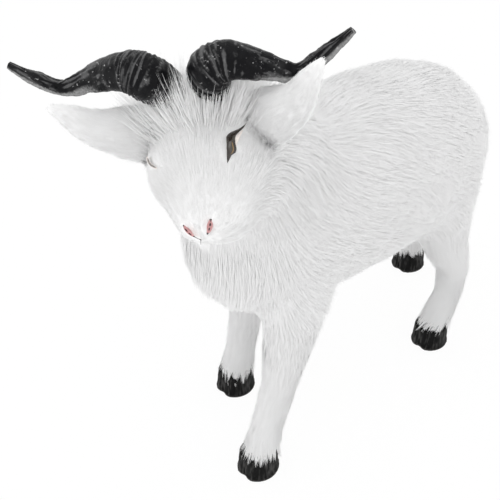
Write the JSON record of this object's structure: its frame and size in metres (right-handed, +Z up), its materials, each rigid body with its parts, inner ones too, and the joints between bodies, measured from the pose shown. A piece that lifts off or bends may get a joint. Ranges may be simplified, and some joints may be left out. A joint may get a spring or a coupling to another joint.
{
  "type": "goat figurine",
  "caption": "Standing goat figurine covered in long white fur, with curved black horns, black hooves and its head turned to its left.",
  "frame": {"origin": "middle of the whole goat's box, on the ground under the hoof soles", "axes": "+Z up; the trunk lies along Y with the chest towards -Y and the rump towards +Y; +X is the goat's left side"},
  "size_m": [0.1132, 0.2554, 0.2346],
  "materials": {
    "fur": "long soft white fur",
    "horn": "glossy black with worn grey edges",
    "hoof": "streaky black with a grey sole rim",
    "eye": "polished dark amber"
  },
  "bodies": {
    "root": {"body": "fur", "left_horn": "horn", "right_horn": "horn", "left_ear": "fur", "right_ear": "fur", "left_eye": "eye", "right_eye": "eye", "front_left_hoof": "hoof", "front_right_hoof": "hoof", "hind_left_hoof": "hoof", "hind_right_hoof": "hoof", "tail": "fur"}
  },
  "joints": []
}
